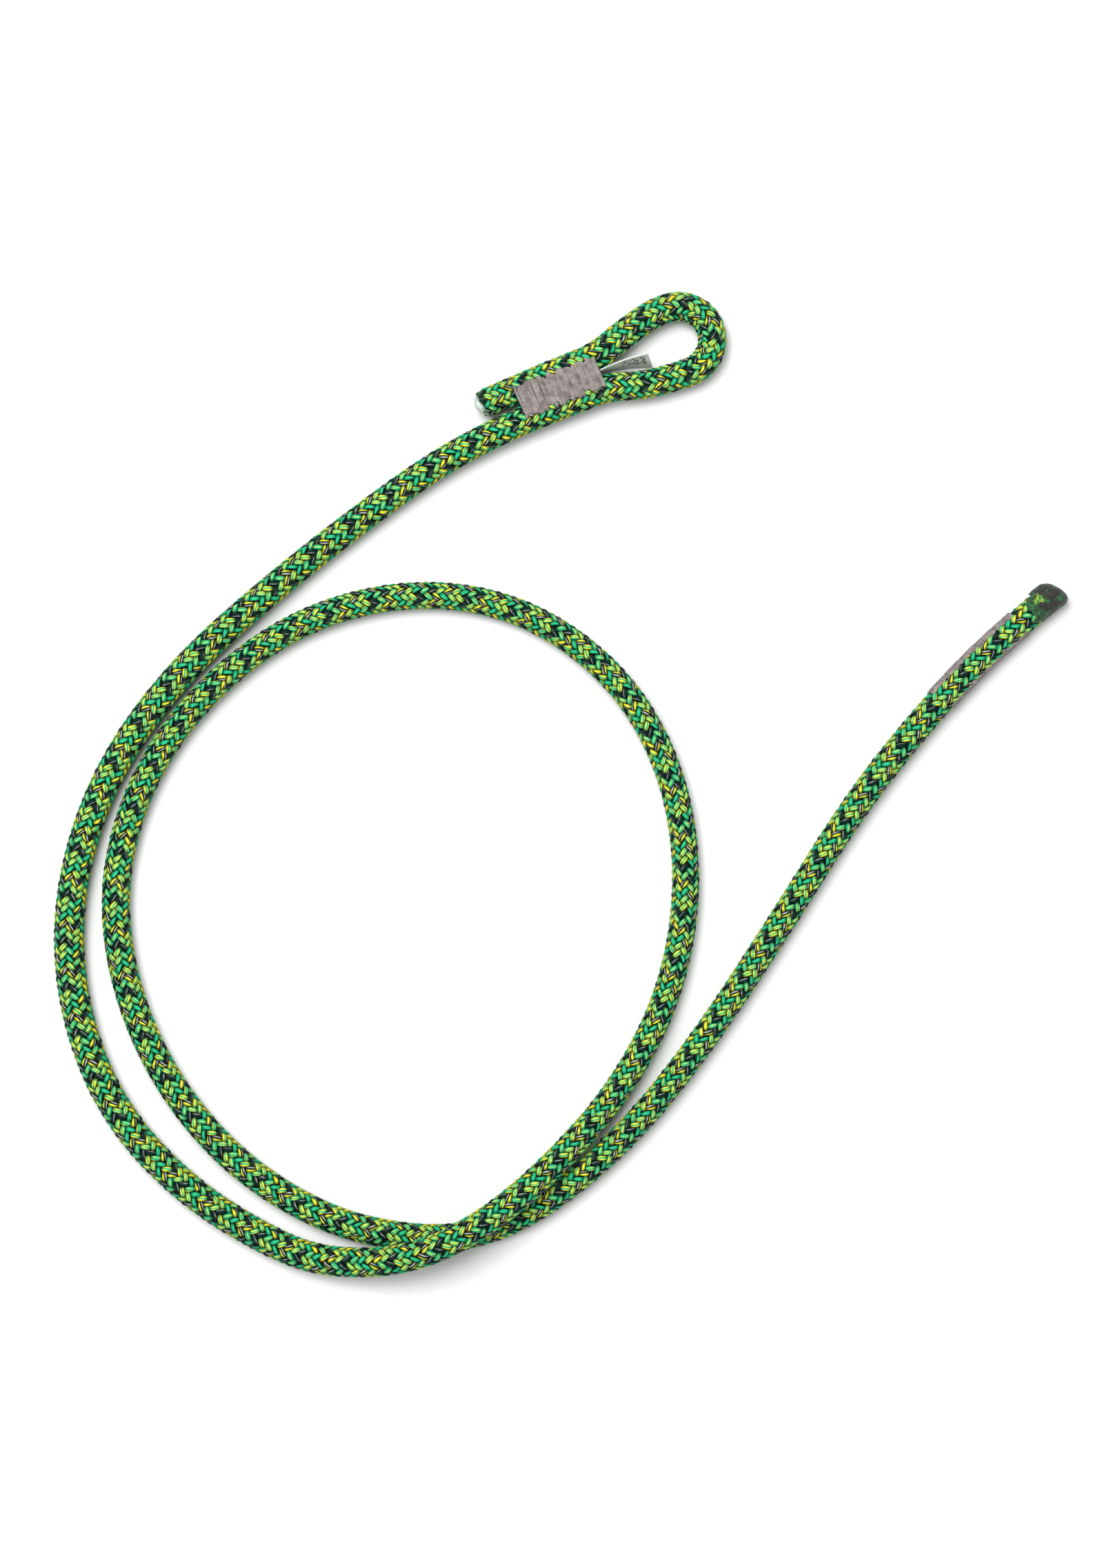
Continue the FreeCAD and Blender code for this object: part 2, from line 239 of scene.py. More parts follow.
def on_rope(distance, angle, out):
    """Places at a distance along the rope, an angle round it from its left side, and a distance
    out from its middle where the rope has its named radius."""
    out = out * interpolated(RADIUS_ALONG, distance) / NAMED_RADIUS
    sideways = (out * np.cos(angle))[:, None] * read_along(LEFT, distance)
    upwards = (out * np.sin(angle))[:, None] * read_along(UPRIGHT, distance)
    return settled(read_along(MIDDLE, distance) + sideways + upwards)


def unevenness(where, seed):
    """A slow smooth wander between -1 and 1, another one for each seed."""
    slow = np.sin(where * 1.00 + seed * 2.399)
    middling = np.sin(where * 2.37 + seed * 5.113)
    quick = np.sin(where * 5.91 + seed * 9.731)
    return 0.45 * slow + 0.33 * middling + 0.22 * quick


WELD = 1e-7


def new_piece(name, mesh, body, material):
    piece = bpy.data.objects.new(name, mesh)
    bpy.context.scene.collection.objects.link(piece)
    piece.data.materials.append(material)
    if body:
        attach(piece, body)
    return piece


def rolled_strips(name, count, segments, sides, place, pattern):
    """Closed tubes from flat strips: place() rolls them up and pattern() lays out their UVs, both
    from how far along (0 to 1) and how far round (0 to 1) a corner is, and the strip's number."""
    flat = bmesh.new()
    for number in range(count):
        shift = Matrix.Translation((0.5, 0.5, number))
        bmesh.ops.create_grid(flat, x_segments=segments, y_segments=sides, size=0.5, matrix=shift)
    mesh = bpy.data.meshes.new(name)
    flat.to_mesh(mesh)
    flat.free()
    corners = np.empty(len(mesh.vertices) * 3, np.float32)
    mesh.vertices.foreach_get("co", corners)
    along, around, number = corners.reshape(-1, 3).astype(float).T
    number = np.rint(number).astype(int)
    mesh.vertices.foreach_set("co", place(along, around, number).astype(np.float32).ravel())
    owners = np.empty(len(mesh.loops), np.int32)
    mesh.loops.foreach_get("vertex_index", owners)
    uv = np.stack(pattern(along, around, number), axis=1)[owners]
    mesh.uv_layers.new(name="UVMap").data.foreach_set("uv", uv.astype(np.float32).ravel())
    rolled = bmesh.new()
    rolled.from_mesh(mesh)
    bmesh.ops.remove_doubles(rolled, verts=rolled.verts, dist=WELD)
    bmesh.ops.holes_fill(rolled, edges=[e for e in rolled.edges if e.is_boundary], sides=0)
    bmesh.ops.recalc_face_normals(rolled, faces=rolled.faces)
    for face in rolled.faces:
        face.smooth = True
    rolled.to_mesh(mesh)
    rolled.free()
    return mesh


def paint(red, green, blue):
    """A colour given as a screen shows it, 0 to 255, in linear light."""
    def linear(level):
        level /= 255
        return level / 12.92 if level <= 0.04045 else ((level + 0.055) / 1.055) ** 2.4
    return (linear(red), linear(green), linear(blue), 1.0)


class Recipe:
    """A material's nodes, made one line each: inputs are sockets or constants."""

    def __init__(self, name, **finish):
        self.material = bpy.data.materials.new(name)
        self.material.use_nodes = True
        self.tree = self.material.node_tree
        self.shader = self.tree.nodes["Principled BSDF"]
        for socket, value in finish.items():
            socket = socket.replace("_", " ").title().replace("Ior", "IOR")
            self.shader.inputs[socket].default_value = value

    def put(self, socket, value):
        if isinstance(value, bpy.types.NodeSocket):
            self.tree.links.new(value, socket)
        else:
            socket.default_value = value

    def node(self, kind, inputs=(), **settings):
        made = self.tree.nodes.new(kind)
        for setting, value in settings.items():
            setattr(made, setting, value)
        for index, value in dict(inputs).items():
            self.put(made.inputs[index], value)
        return made

    def maths(self, operation, first, second=0.0, third=0.0):
        inputs = {0: first, 1: second, 2: third}
        return self.node("ShaderNodeMath", inputs, operation=operation).outputs[0]

    def uv(self):
        """The two coordinates of the piece's own UV map."""
        apart = self.node("ShaderNodeSeparateXYZ", {0: self.node("ShaderNodeUVMap").outputs[0]})
        return apart.outputs[0], apart.outputs[1]

    def place(self):
        return self.node("ShaderNodeTexCoord").outputs["Object"]

    def noise(self, vector, scale, detail=2.0, roughness=0.5):
        inputs = {"Vector": vector, "Scale": scale, "Detail": detail, "Roughness": roughness}
        return self.node("ShaderNodeTexNoise", inputs).outputs["Fac"]

    def point(self, x, y, z=0.0):
        return self.node("ShaderNodeCombineXYZ", {0: x, 1: y, 2: z}).outputs[0]

    def beyond(self, end, outwards):
        """How far each point lies beyond one end of the rope, and how far from its middle."""
        inputs = {0: self.place(), 1: tuple(end)}
        arm = self.node("ShaderNodeVectorMath", inputs, operation="SUBTRACT").outputs["Vector"]
        ahead = self.node("ShaderNodeVectorMath", {0: arm, 1: tuple(outwards)}, operation="DOT_PRODUCT")
        away = self.node("ShaderNodeVectorMath", {0: arm}, operation="LENGTH")
        return ahead.outputs["Value"], away.outputs["Value"]

    def ramp(self, factor, stops, interpolation="LINEAR"):
        made = self.node("ShaderNodeValToRGB", {0: factor})
        made.color_ramp.interpolation = interpolation
        while len(made.color_ramp.elements) < len(stops):
            made.color_ramp.elements.new(1.0)
        for element, (position, colour) in zip(made.color_ramp.elements, stops):
            element.position = position
            element.color = colour
        return made.outputs[0]

    def span(self, value, low, high, new_low, new_high):
        inputs = {0: value, 1: low, 2: high, 3: new_low, 4: new_high}
        return self.node("ShaderNodeMapRange", inputs).outputs[0]

    def mix(self, factor, first, second, blend_type="MIX"):
        made = self.node("ShaderNodeMix", data_type="RGBA", blend_type=blend_type)
        for index, value in ((0, factor), (6, first), (7, second)):
            self.put(made.inputs[index], value)
        return made.outputs[2]

    def shaded(self, colour, factor):
        """A colour made lighter or darker by a number."""
        grey = self.point(factor, factor, factor)
        return self.mix(1.0, colour, grey, "MULTIPLY")

    def distance_from(self, spot):
        inputs = {0: self.place(), 1: spot}
        return self.node("ShaderNodeVectorMath", inputs, operation="DISTANCE").outputs["Value"]

    def bump(self, height, distance):
        inputs = {"Height": height, "Distance": distance, "Strength": 1.0}
        self.put(self.shader.inputs["Normal"], self.node("ShaderNodeBump", inputs).outputs[0])

    def colour(self, value):
        self.put(self.shader.inputs["Base Color"], value)


GREEN = paint(38, 182, 124)
YELLOW = paint(226, 226, 58)
DARK = paint(2, 34, 28)
GREY = paint(176, 182, 178)
MELTED_GREEN = paint(6, 46, 24)

# Each end, the way out of it, where beyond it the heat starts and is full, and how wide it is
MELTED_ENDS = (
    (STUB_END, STUB_OUTWARDS, 0.0002, 0.0018, 0.0054, 0.0062),
    (TAIL_END, TAIL_OUTWARDS, -0.0085, -0.0035, 0.0120, 0.0160),
)

# Yarns across each plait: where each colour begins, from one edge at 0 to the other at 1
PLAITS = {
    "grey": [(0.0, DARK), (0.18, GREY), (0.34, DARK), (0.60, YELLOW)],
    "dark": [(0.0, DARK), (0.29, GREY), (0.35, DARK)],
    "mottled": [(0.0, DARK), (0.34, GREEN)],
    "green": [(0.0, GREEN), (0.42, YELLOW), (0.50, GREEN), (0.84, YELLOW)],
    "yellow": [(0.0, GREEN), (0.16, YELLOW), (0.40, GREEN), (0.66, YELLOW)],
    "striped": [(0.0, GREEN), (0.30, YELLOW), (0.44, GREEN), (0.64, YELLOW), (0.76, GREEN)],
}
YARN_BORDER = 0.035


def blended(yarns):
    """The same yarns, with a soft border between each and the next."""
    stops = yarns[:1]
    for (_, before), (where, after) in zip(yarns, yarns[1:]):
        stops = stops + [(where - YARN_BORDER, before), (where + YARN_BORDER, after)]
    return stops


def plait_material(name, yarns):
    """Filament yarns, three or more to a plait. UV x counts the floats along it, each on top at a
    whole number and underneath halfway between two, and y is 0 to 1 across it."""
    look = Recipe(f"{name}_plait", specular_ior_level=0.10)
    along, across = look.uv()
    turns = look.maths("MULTIPLY", along, 2 * math.pi)
    wander = look.noise(look.point(look.maths("MULTIPLY", along, 0.9), 0.0), 1.0, 1.0)
    slant = look.maths("MULTIPLY", look.maths("SINE", turns), 0.10)
    long = look.maths("MULTIPLY", along, 2.2)
    coarse = look.noise(look.point(long, look.maths("MULTIPLY", across, 8.0)), 1.0, 1.0)
    fine = look.noise(look.point(long, look.maths("MULTIPLY", across, 26.0)), 1.0, 2.0)
    yarn = look.maths("ADD", across, look.span(wander, 0.3, 0.7, -0.14, 0.14))
    yarn = look.maths("ADD", yarn, look.span(coarse, 0.3, 0.7, -0.06, 0.06))
    yarn = look.maths("ADD", yarn, look.span(fine, 0.3, 0.7, -0.05, 0.05))
    colour = look.ramp(look.maths("ADD", yarn, slant), blended(yarns))
    streaks = look.span(fine, 0.3, 0.7, -0.16, 0.16)
    streaks = look.maths("ADD", streaks, look.span(coarse, 0.3, 0.7, 0.90, 1.14))
    # Painted shade at each float's ends, where it dives under the crossing plaits, and a slightly
    # lighter painted crown on its top
    ends = look.span(look.maths("COSINE", turns), -0.05, 0.85, 0.04, 1.05)
    # Painted shade in the grooves between plaits: each plait darker towards its edges, with a faint
    # painted highlight along its middle
    edge = look.maths("ABSOLUTE", look.maths("MULTIPLY_ADD", across, 2.0, -1.0))
    sides = look.span(edge, 0.42, 0.95, 1.06, 0.08)
    # The yarns' own filament streaks, times the painted shade and highlight of float ends and plait
    # sides
    streaks_and_painted_shade = look.maths("MULTIPLY", streaks, look.maths("MULTIPLY", ends, sides))
    yarn_colour_with_painted_shade = look.shaded(colour, streaks_and_painted_shade)
    for end, outwards, start, full, near, far in MELTED_ENDS:
        ahead, away = look.beyond(end, outwards)
        ragged = look.maths("MULTIPLY_ADD", coarse, 0.002, ahead)
        melted = look.maths("MULTIPLY", look.span(ragged, start, full, 0.0, 0.85),
                            look.span(away, near, far, 1.0, 0.0))
        yarn_colour_with_painted_shade = look.mix(melted, yarn_colour_with_painted_shade, MELTED_GREEN)
    look.colour(yarn_colour_with_painted_shade)
    look.put(look.shader.inputs["Roughness"], look.span(fine, 0.3, 0.7, 0.58, 0.46))
    look.bump(look.maths("ADD", fine, coarse), 0.00006)
    return look.material


def core_material():
    look = Recipe("core_yarn", roughness=0.7, sheen_weight=0.2)
    along, across = look.uv()
    twist = look.maths("MULTIPLY_ADD", along, 0.9, look.maths("MULTIPLY", across, 18.0))
    fibres = look.noise(look.point(look.maths("MULTIPLY", along, 0.3), twist), 1.0, 3.0)
    look.colour(look.mix(fibres, paint(196, 196, 186), paint(238, 238, 230)))
    look.bump(fibres, 0.0001)
    return look.material


def thread_material():
    look = Recipe("waxed_thread", roughness=0.55, specular_ior_level=0.25)
    along, across = look.uv()
    lay = look.maths("MULTIPLY_ADD", along, 1.15, look.maths("MULTIPLY", across, 2.0))
    plies = look.maths("SINE", look.maths("MULTIPLY", lay, 2 * math.pi))
    fibres = look.noise(look.point(look.maths("MULTIPLY", along, 0.6), lay), 1.0, 3.0)
    tint = look.noise(look.place(), 500.0, 1.0)
    colour = look.mix(look.span(tint, 0.3, 0.7, 0.0, 1.0), paint(132, 122, 120), paint(178, 168, 164))
    # Painted shade in the grooves between the twisted plies, with a faint painted highlight on their
    # crests
    colour = look.shaded(colour, look.span(plies, -1.0, 1.0, 0.84, 1.06))
    look.colour(look.shaded(colour, look.span(fibres, 0.25, 0.75, 0.88, 1.08)))
    look.bump(look.maths("ADD", plies, fibres), 0.00004)
    return look.material


# Braid: twelve plaits wound each way, each over two and under two of the others
CARRIERS = 12
LEAD = 0.0315
COLUMNS = 6
PLAIT_MIDDLE = 0.00410
PLAIT_LIFT = 0.00044
PLAIT_WIDTH = 0.00180
PLAIT_THICKNESS = 0.00100
LIFT_SHARPNESS = 1.1
RINGS_PER_COLUMN = 10
CROSSING_SHIFT = math.radians(7.5)
STEEPER = {1: 0.04, -1: 0.04}

# Length of one whole turn of a plait at distances from the stub
LEAD_ALONG = [
    (0.00, 0.0302), (0.15, 0.0302), (0.19, 0.0327), (0.30, 0.0327), (0.34, 0.0309), (0.50, 0.0309),
    (0.56, 0.0324), (0.63, 0.0324), (0.68, 0.0315), (1.10, 0.0315), (1.17, 0.0306), (1.26, 0.0315),
    (1.55, 0.0315),
]

# How far the rope has turned on itself, in degrees, at distances from the stub
TWIST_ALONG = [
    (0.00, 14), (0.04, 17), (0.09, 31), (0.20, 45), (0.27, 40), (0.36, 46), (0.45, 54), (0.52, 48),
    (0.63, 32), (0.75, 23), (0.90, 22), (1.02, 33), (1.15, 42), (1.29, 29), (1.41, 23), (1.55, 24),
]


# Turns that a plait has made round the rope at each point of the line
STEP_TURNS = np.diff(DISTANCE) / interpolated(LEAD_ALONG, DISTANCE[1:])
WOUND = 2 * math.pi * np.concatenate([[0.0], np.cumsum(STEP_TURNS)])

# Half a plait's section: across, outwards and the yarn coordinate, round from one edge
PLAIT_SECTION = np.array([
    (-1.00, -0.30, 0.000),
    (-0.76, 0.58, 0.167),
    (-0.37, 0.70, 0.333),
    (0.00, 1.00, 0.500),
    (0.37, 0.70, 0.667),
    (0.76, 0.58, 0.833),
    (1.00, -0.30, 1.000),
    (0.55, -0.80, 0.700),
    (-0.55, -0.80, 0.300),
])
SECTION_POINTS = len(PLAIT_SECTION)
PLAIT_SEED_STEP = 611

# Which plait is on each carrier, in the order in which a column shows them
ORDER = {
    1: ["striped", "yellow", "dark", "green", "grey", "mottled"],
    -1: ["striped", "dark", "green", "mottled", "yellow", "grey"],
}


def carriers_of(plait):
    """Winding direction and number of the four carriers that hold one kind of plait."""
    return [(way, number) for way in (1, -1) for number in range(CARRIERS)
            if ORDER[way][number % len(ORDER[way])] == plait]


def turn_of(distance, way, number):
    """How far round the rope a carrier has wound its plait."""
    wound = np.interp(distance, DISTANCE, WOUND)
    return way * wound + 2 * math.pi * number / CARRIERS + CROSSING_SHIFT


def floats_before(distance, way, number):
    """Floats of a plait up to a distance: a whole number where it lies on top."""
    return COLUMNS * turn_of(distance, way, number) / (2 * math.pi) + np.where(way > 0, 0.0, 0.5)


def plait_place(distance, section, way, number):
    """Where the braid puts the points of a plait's section."""
    across, outwards = section
    turn = turn_of(distance, way, number)
    column = COLUMNS * turn
    steeper = np.where(way > 0, STEEPER[1], STEEPER[-1])
    turn = turn + steeper * np.sin(column) / COLUMNS
    crown = way * np.cos(column)
    over = np.tanh(LIFT_SHARPNESS * crown) / math.tanh(LIFT_SHARPNESS)
    slope = way * 2 * math.pi * PLAIT_MIDDLE / LEAD * (1 + steeper * np.cos(column))
    own = number + 40 * (way > 0)
    shifting = 0.24 * unevenness(distance / 0.0031, own)
    across = across + shifting * (1 - across**2)
    fullness = 0.88 + 0.12 * crown + 0.05 * unevenness(distance / 0.0053, own + 7)
    sideways = across * PLAIT_WIDTH / 2 * fullness
    tilt = np.sqrt(1 + slope**2)
    lift = over * PLAIT_LIFT * (1 + 0.10 * unevenness(distance / 0.0027, own + 19))
    out = PLAIT_MIDDLE + lift + outwards * PLAIT_THICKNESS / 2
    twist = np.radians(interpolated(TWIST_ALONG, distance))
    angle = turn + sideways / tilt / PLAIT_MIDDLE + twist
    return on_rope(distance - sideways * slope / tilt, angle, out)


def plaits(name, plait, start, end):
    """The four plaits of one kind along one stretch of the rope."""
    carriers = np.array(carriers_of(plait))
    rings = round((end - start) / (LEAD / COLUMNS / RINGS_PER_COLUMN))

    def corner(around):
        return np.rint(around * SECTION_POINTS).astype(int)

    def place(along, around, strip):
        section = PLAIT_SECTION[corner(around) % SECTION_POINTS, :2].T
        way, number = carriers[strip].T
        return plait_place(start + along * (end - start), section, way, number)

    def pattern(along, around, strip):
        way, number = carriers[strip].T
        count = floats_before(start + along * (end - start), way, number)
        return count + PLAIT_SEED_STEP * strip, PLAIT_SECTION[corner(around) % SECTION_POINTS, 2]

    return rolled_strips(name, len(carriers), rings, SECTION_POINTS, place, pattern)
PLAIT_MATERIALS = {plait: plait_material(plait, yarns) for plait, yarns in PLAITS.items()}
CORE = core_material()

# Core: seven twisted strands, one in the middle and six round it
CORE_STRANDS = 7
CORE_RING = 0.0022
CORE_RADIUS = 0.00112
CORE_SIDES = 8
CORE_STEP = 0.0022
CORE_TWIST_LENGTH = 0.060


def core(name, start, end):
    """The core strands along one stretch of the rope, laid round each other."""
    def place(along, around, strip):
        distance = start + along * (end - start)
        turn = 2 * math.pi * (strip / (CORE_STRANDS - 1) + distance / CORE_TWIST_LENGTH)
        ring = np.where(strip == CORE_STRANDS - 1, 0.0, CORE_RING)
        rim = 2 * math.pi * around
        x = ring * np.cos(turn) + CORE_RADIUS * np.cos(rim)
        y = ring * np.sin(turn) + CORE_RADIUS * np.sin(rim)
        return on_rope(distance, np.arctan2(y, x), np.hypot(x, y))

    def pattern(along, around, strip):
        return (start + along * (end - start)) * 1000 + strip * 617.0, around

    segments = round((end - start) / CORE_STEP)
    return rolled_strips(name, CORE_STRANDS, segments, CORE_SIDES, place, pattern)


BRAID_START = -0.0009
EYE_END = distance_of(middle_of_run(EYE_TURNS_FROM))
TAIL_START = distance_of(middle_of_run(TAIL_TURNS_FROM))

# Start and end of each stretch, and the sheath nodes and core nodes that it stands for
STRETCHES = {
    "eye": (
        BRAID_START, EYE_END,
        ("sheath_eye", "sheath_eye_bend"),
        ("core_strands_eye", "core_strands_eye_bend"),
    ),
    "loop": (
        EYE_END, TAIL_START,
        ("sheath_loop",),
        tuple(f"core_strand_{i}" for i in range(1, CORE_STRANDS + 1)),
    ),
    "tail": (
        TAIL_START, ROPE_LENGTH,
        ("sheath_tail_bend", "sheath_tail"),
        ("core_strands_tail_bend", "core_strands_tail"),
    ),
}
TURNS = {
    "eye": (middle_of_run(EYE_TURNS_FROM), middle_of_run(EYE_TURNS_TO)),
    "tail": (middle_of_run(TAIL_TURNS_FROM), middle_of_run(TAIL_TURNS_TO)),
}


def rope_piece(name, mesh, stretch, material, nodes):
    """One piece that runs along a whole stretch. Where the stretch turns back on itself it rides on no
    body and its placement is baked into its mesh; otherwise it rides on the loop.
    """
    bends = stretch in TURNS
    piece = new_piece(name, mesh, None if bends else "loop", material)
    if bends:
        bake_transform(piece)
    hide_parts(*nodes)
    return piece


for stretch, (start, end, sheath_nodes, core_nodes) in STRETCHES.items():
    made = [
        rope_piece(
            f"{stretch}_{plait}_plaits", plaits(f"{stretch}_{plait}_plaits", plait, start, end),
            stretch, material, sheath_nodes,
        )
        for plait, material in PLAIT_MATERIALS.items()
    ]
    strands = core(f"{stretch}_core", max(start, 0.0), end)
    made.append(rope_piece(f"{stretch}_core", strands, stretch, CORE, core_nodes))

# Sewing thread: two plies pressed flat beside each other
PLY_RADIUS = 0.00024
PLY_OFFSET = 0.00021
PLY_SIDES = 6
PLY_ROCKING = 0.45
ROCKING_PITCH = 0.0041


def two_ply_threads(name, paths, sideways, segments):
    """Threads along paths, each an array of places. Their two plies lie apart in the direction
    sideways, and rock a little about it."""
    paths = np.array(paths)
    ahead = unit(np.gradient(paths, axis=1))
    side = unit(sideways - (ahead * sideways).sum(-1, keepdims=True) * ahead)
    out = np.cross(ahead, side)
    lengths = np.array([lengths_along(path)[-1] for path in paths])

    def read(table, thread, along):
        where = along * (table.shape[1] - 1)
        low = np.minimum(where.astype(int), table.shape[1] - 2)
        share = (where - low)[:, None]
        return table[thread, low] * (1 - share) + table[thread, low + 1] * share

    def place(along, around, strip):
        thread, ply = strip // 2, strip % 2
        rocking = PLY_ROCKING * np.sin(2 * math.pi * along * lengths[thread] / ROCKING_PITCH + thread)
        rim = 2 * math.pi * around
        beside = PLY_OFFSET * (2 * ply - 1)
        across = beside * np.cos(rocking) + PLY_RADIUS * np.cos(rim)
        upwards = beside * np.sin(rocking) + PLY_RADIUS * np.sin(rim)
        middle = read(paths, thread, along) + across[:, None] * read(side, thread, along)
        return middle + upwards[:, None] * read(out, thread, along)

    def pattern(along, around, strip):
        return along * lengths[strip // 2] * 1000 + strip * 61.7, around

    return rolled_strips(name, 2 * len(paths), segments, PLY_SIDES, place, pattern)


THREAD = thread_material()

# Eye stitching: threads that bridge the two legs, in a frame along the legs
EYE_ORIGIN = np.array([-0.0282, 0.1213, 0.0])
EYE_ALONG = np.array([0.9303, 0.3667, 0.0])
EYE_ACROSS = np.array([-0.3667, 0.9303, 0.0])
UP = np.array([0.0, 0.0, 1.0])
LEG_HEIGHT = 0.0058
LEG_APART = 0.00530
STITCHES = 35
STITCH_START = 0.0163
STITCH_END = 0.0442
STITCH_REACH = 0.0058
STITCH_OUT = 0.00535
STITCH_SAG = 0.00045
STITCH_DIVE = 0.0016
STITCH_SLANT = 0.0002
STITCH_STEPS = 40


def stitch_path(where, side, draw):
    """One thread over both legs: it comes out of one leg, bridges the valley and dives again."""
    near = STITCH_REACH + draw.uniform(-0.0012, 0.0006)
    far = STITCH_REACH + draw.uniform(-0.0012, 0.0006)
    wobble = draw.uniform(-0.00008, 0.00008)
    steps = np.linspace(0.0, 1.0, STITCH_STEPS)
    across = far - steps * (near + far)
    over_leg = np.abs(across) - LEG_APART
    valley = np.clip(1 - (across / LEG_APART) ** 2, 0.0, 1.0)
    height = STITCH_OUT - STITCH_SAG * valley - np.clip(over_leg, 0.0, None) ** 2 / (2 * STITCH_OUT)
    height -= STITCH_DIVE * np.exp(-steps / 0.022) + STITCH_DIVE * np.exp((steps - 1) / 0.022)
    along = where - STITCH_SLANT * across / STITCH_REACH + wobble * np.sin(5 * steps)
    place = EYE_ORIGIN + along[:, None] * EYE_ALONG + across[:, None] * EYE_ACROSS
    return place + (LEG_HEIGHT + side * height)[:, None] * UP


def eye_stitches(name, side, seed):
    draw = random.Random(seed)
    pitch = (STITCH_END - STITCH_START) / (STITCHES - 1)
    places = [STITCH_START + i * pitch + draw.uniform(-0.1, 0.1) * pitch for i in range(STITCHES)]
    paths = [stitch_path(where, side, draw) for where in places]
    return two_ply_threads(name, paths, EYE_ALONG, 90)


for name, side, seed in (("eye_stitching_over", 1, 3), ("eye_stitching_under", -1, 4)):
    threads = new_piece(name, eye_stitches(name, side, seed), "eye", THREAD)
    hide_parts("eye_stitching_top" if side > 0 else "eye_stitching_bottom")

# Tail stitching: threads round each side of the tail
TAIL_STITCHES = 46
TAIL_STITCH_OUT = 0.00505
TAIL_STITCH_STEPS = 24

# Where each band starts and ends before the tail's tip, its middle and its half width in degrees
TAIL_BANDS = {"left": (0.0512, 0.0146, 0.0, 43.0), "right": (0.0492, 0.0135, 180.0, 37.0)}


def tail_stitch_path(distance, middle_angle, half_angle, draw):
    reach = half_angle * draw.uniform(0.88, 1.08)
    steps = np.linspace(-1.0, 1.0, TAIL_STITCH_STEPS)
    out = TAIL_STITCH_OUT + 0.00010 * unevenness(distance / 0.0014, 31)
    out = out - 0.0012 * np.exp((np.abs(steps) - 1) / 0.09)
    lean = 0.0005 * steps
    return on_rope(distance + lean, middle_angle + reach * steps, out)


def tail_stitches(name, start, end, middle_angle, half_angle, seed):
    draw = random.Random(seed)
    pitch = (end - start) / (TAIL_STITCHES - 1)
    places = [start + (i + draw.uniform(-0.12, 0.12)) * pitch for i in range(TAIL_STITCHES)]
    paths = [tail_stitch_path(where, middle_angle, half_angle, draw) for where in places]
    return two_ply_threads(name, paths, read_along(AHEAD, np.array([ROPE_LENGTH - 0.02]))[0], 60)


for seed, (name, (start, end, middle_angle, half_angle)) in enumerate(TAIL_BANDS.items(), start=5):
    piece_name = f"tail_stitching_threads_{name}"
    mesh = tail_stitches(piece_name, ROPE_LENGTH - start, ROPE_LENGTH - end, math.radians(middle_angle),
                         math.radians(half_angle), seed)
    threads = new_piece(piece_name, mesh, "tail", THREAD)
    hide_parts(f"tail_stitching_{name}")


def melted_end(name, profile, along_segments=44, sides=72):
    """A closed lump at one end of the rope: profile() gives distance and radius for each angle."""
    def place(along, around, strip):
        angle = 2 * math.pi * around
        distance, out = profile(along, angle)
        return on_rope(distance, angle, out)

    def pattern(along, around, strip):
        return along, around

    return rolled_strips(name, 1, along_segments, sides, place, pattern)


# Tail cap: how far its skin has run back over the braid at angles round the rope, and its front
SKIRT_EDGE = [
    (0, 0.0047), (30, 0.0053), (48, 0.0084), (62, 0.0092), (82, 0.0080), (100, 0.0088), (116, 0.0098),
    (127, 0.0112), (138, 0.0096), (158, 0.0069), (180, 0.0057), (270, 0.0048), (360, 0.0047),
]
SKIRT_LIP = 0.0007
CAP_INSIDE = 0.0042
CAP_RADIUS = 0.00535
CAP_LEANS_LEFT = 0.00035
CAP_FRONT = 0.0046
CAP_FRONT_MIDDLE = 0.0030
CAP_FRONT_CURVE = 45.0
CAP_FRONT_CROWN = 60.0
CAP_ROUNDING = 0.0014
CAP_LUMPS = 0.00035
CAP_CREASES = 0.00018
FACE_LUMPS = 0.00030
SKIRT_RAGGED = 0.0009
SKIRT_FRAYED = 0.0006
SKIRT_THINNER = 0.00016
CAP_MIDDLE_HOLE = 0.00002

# Shares of the cap's strip that make its lip and its wall; its face takes as much as the wall
LIP_SHARE = 0.10
WALL_SHARE = 0.45


def cap_front(angle, out, rim):
    """How far the cap's face stands out beyond the end of the rope."""
    rightwards = -np.cos(angle) * out
    upwards = np.sin(angle) * out
    face = CAP_FRONT - CAP_FRONT_CURVE * (CAP_FRONT_MIDDLE - rightwards) ** 2
    face = face - CAP_FRONT_CROWN * upwards**2
    return face - CAP_ROUNDING * (out / rim) ** 6


def lumps_round(angle, quickness, seed):
    """A wander between -1 and 1 that meets itself after one turn."""
    first = unevenness(quickness * np.cos(angle), seed)
    second = unevenness(quickness * np.sin(angle), seed + 1)
    return first / 2 + second / 2


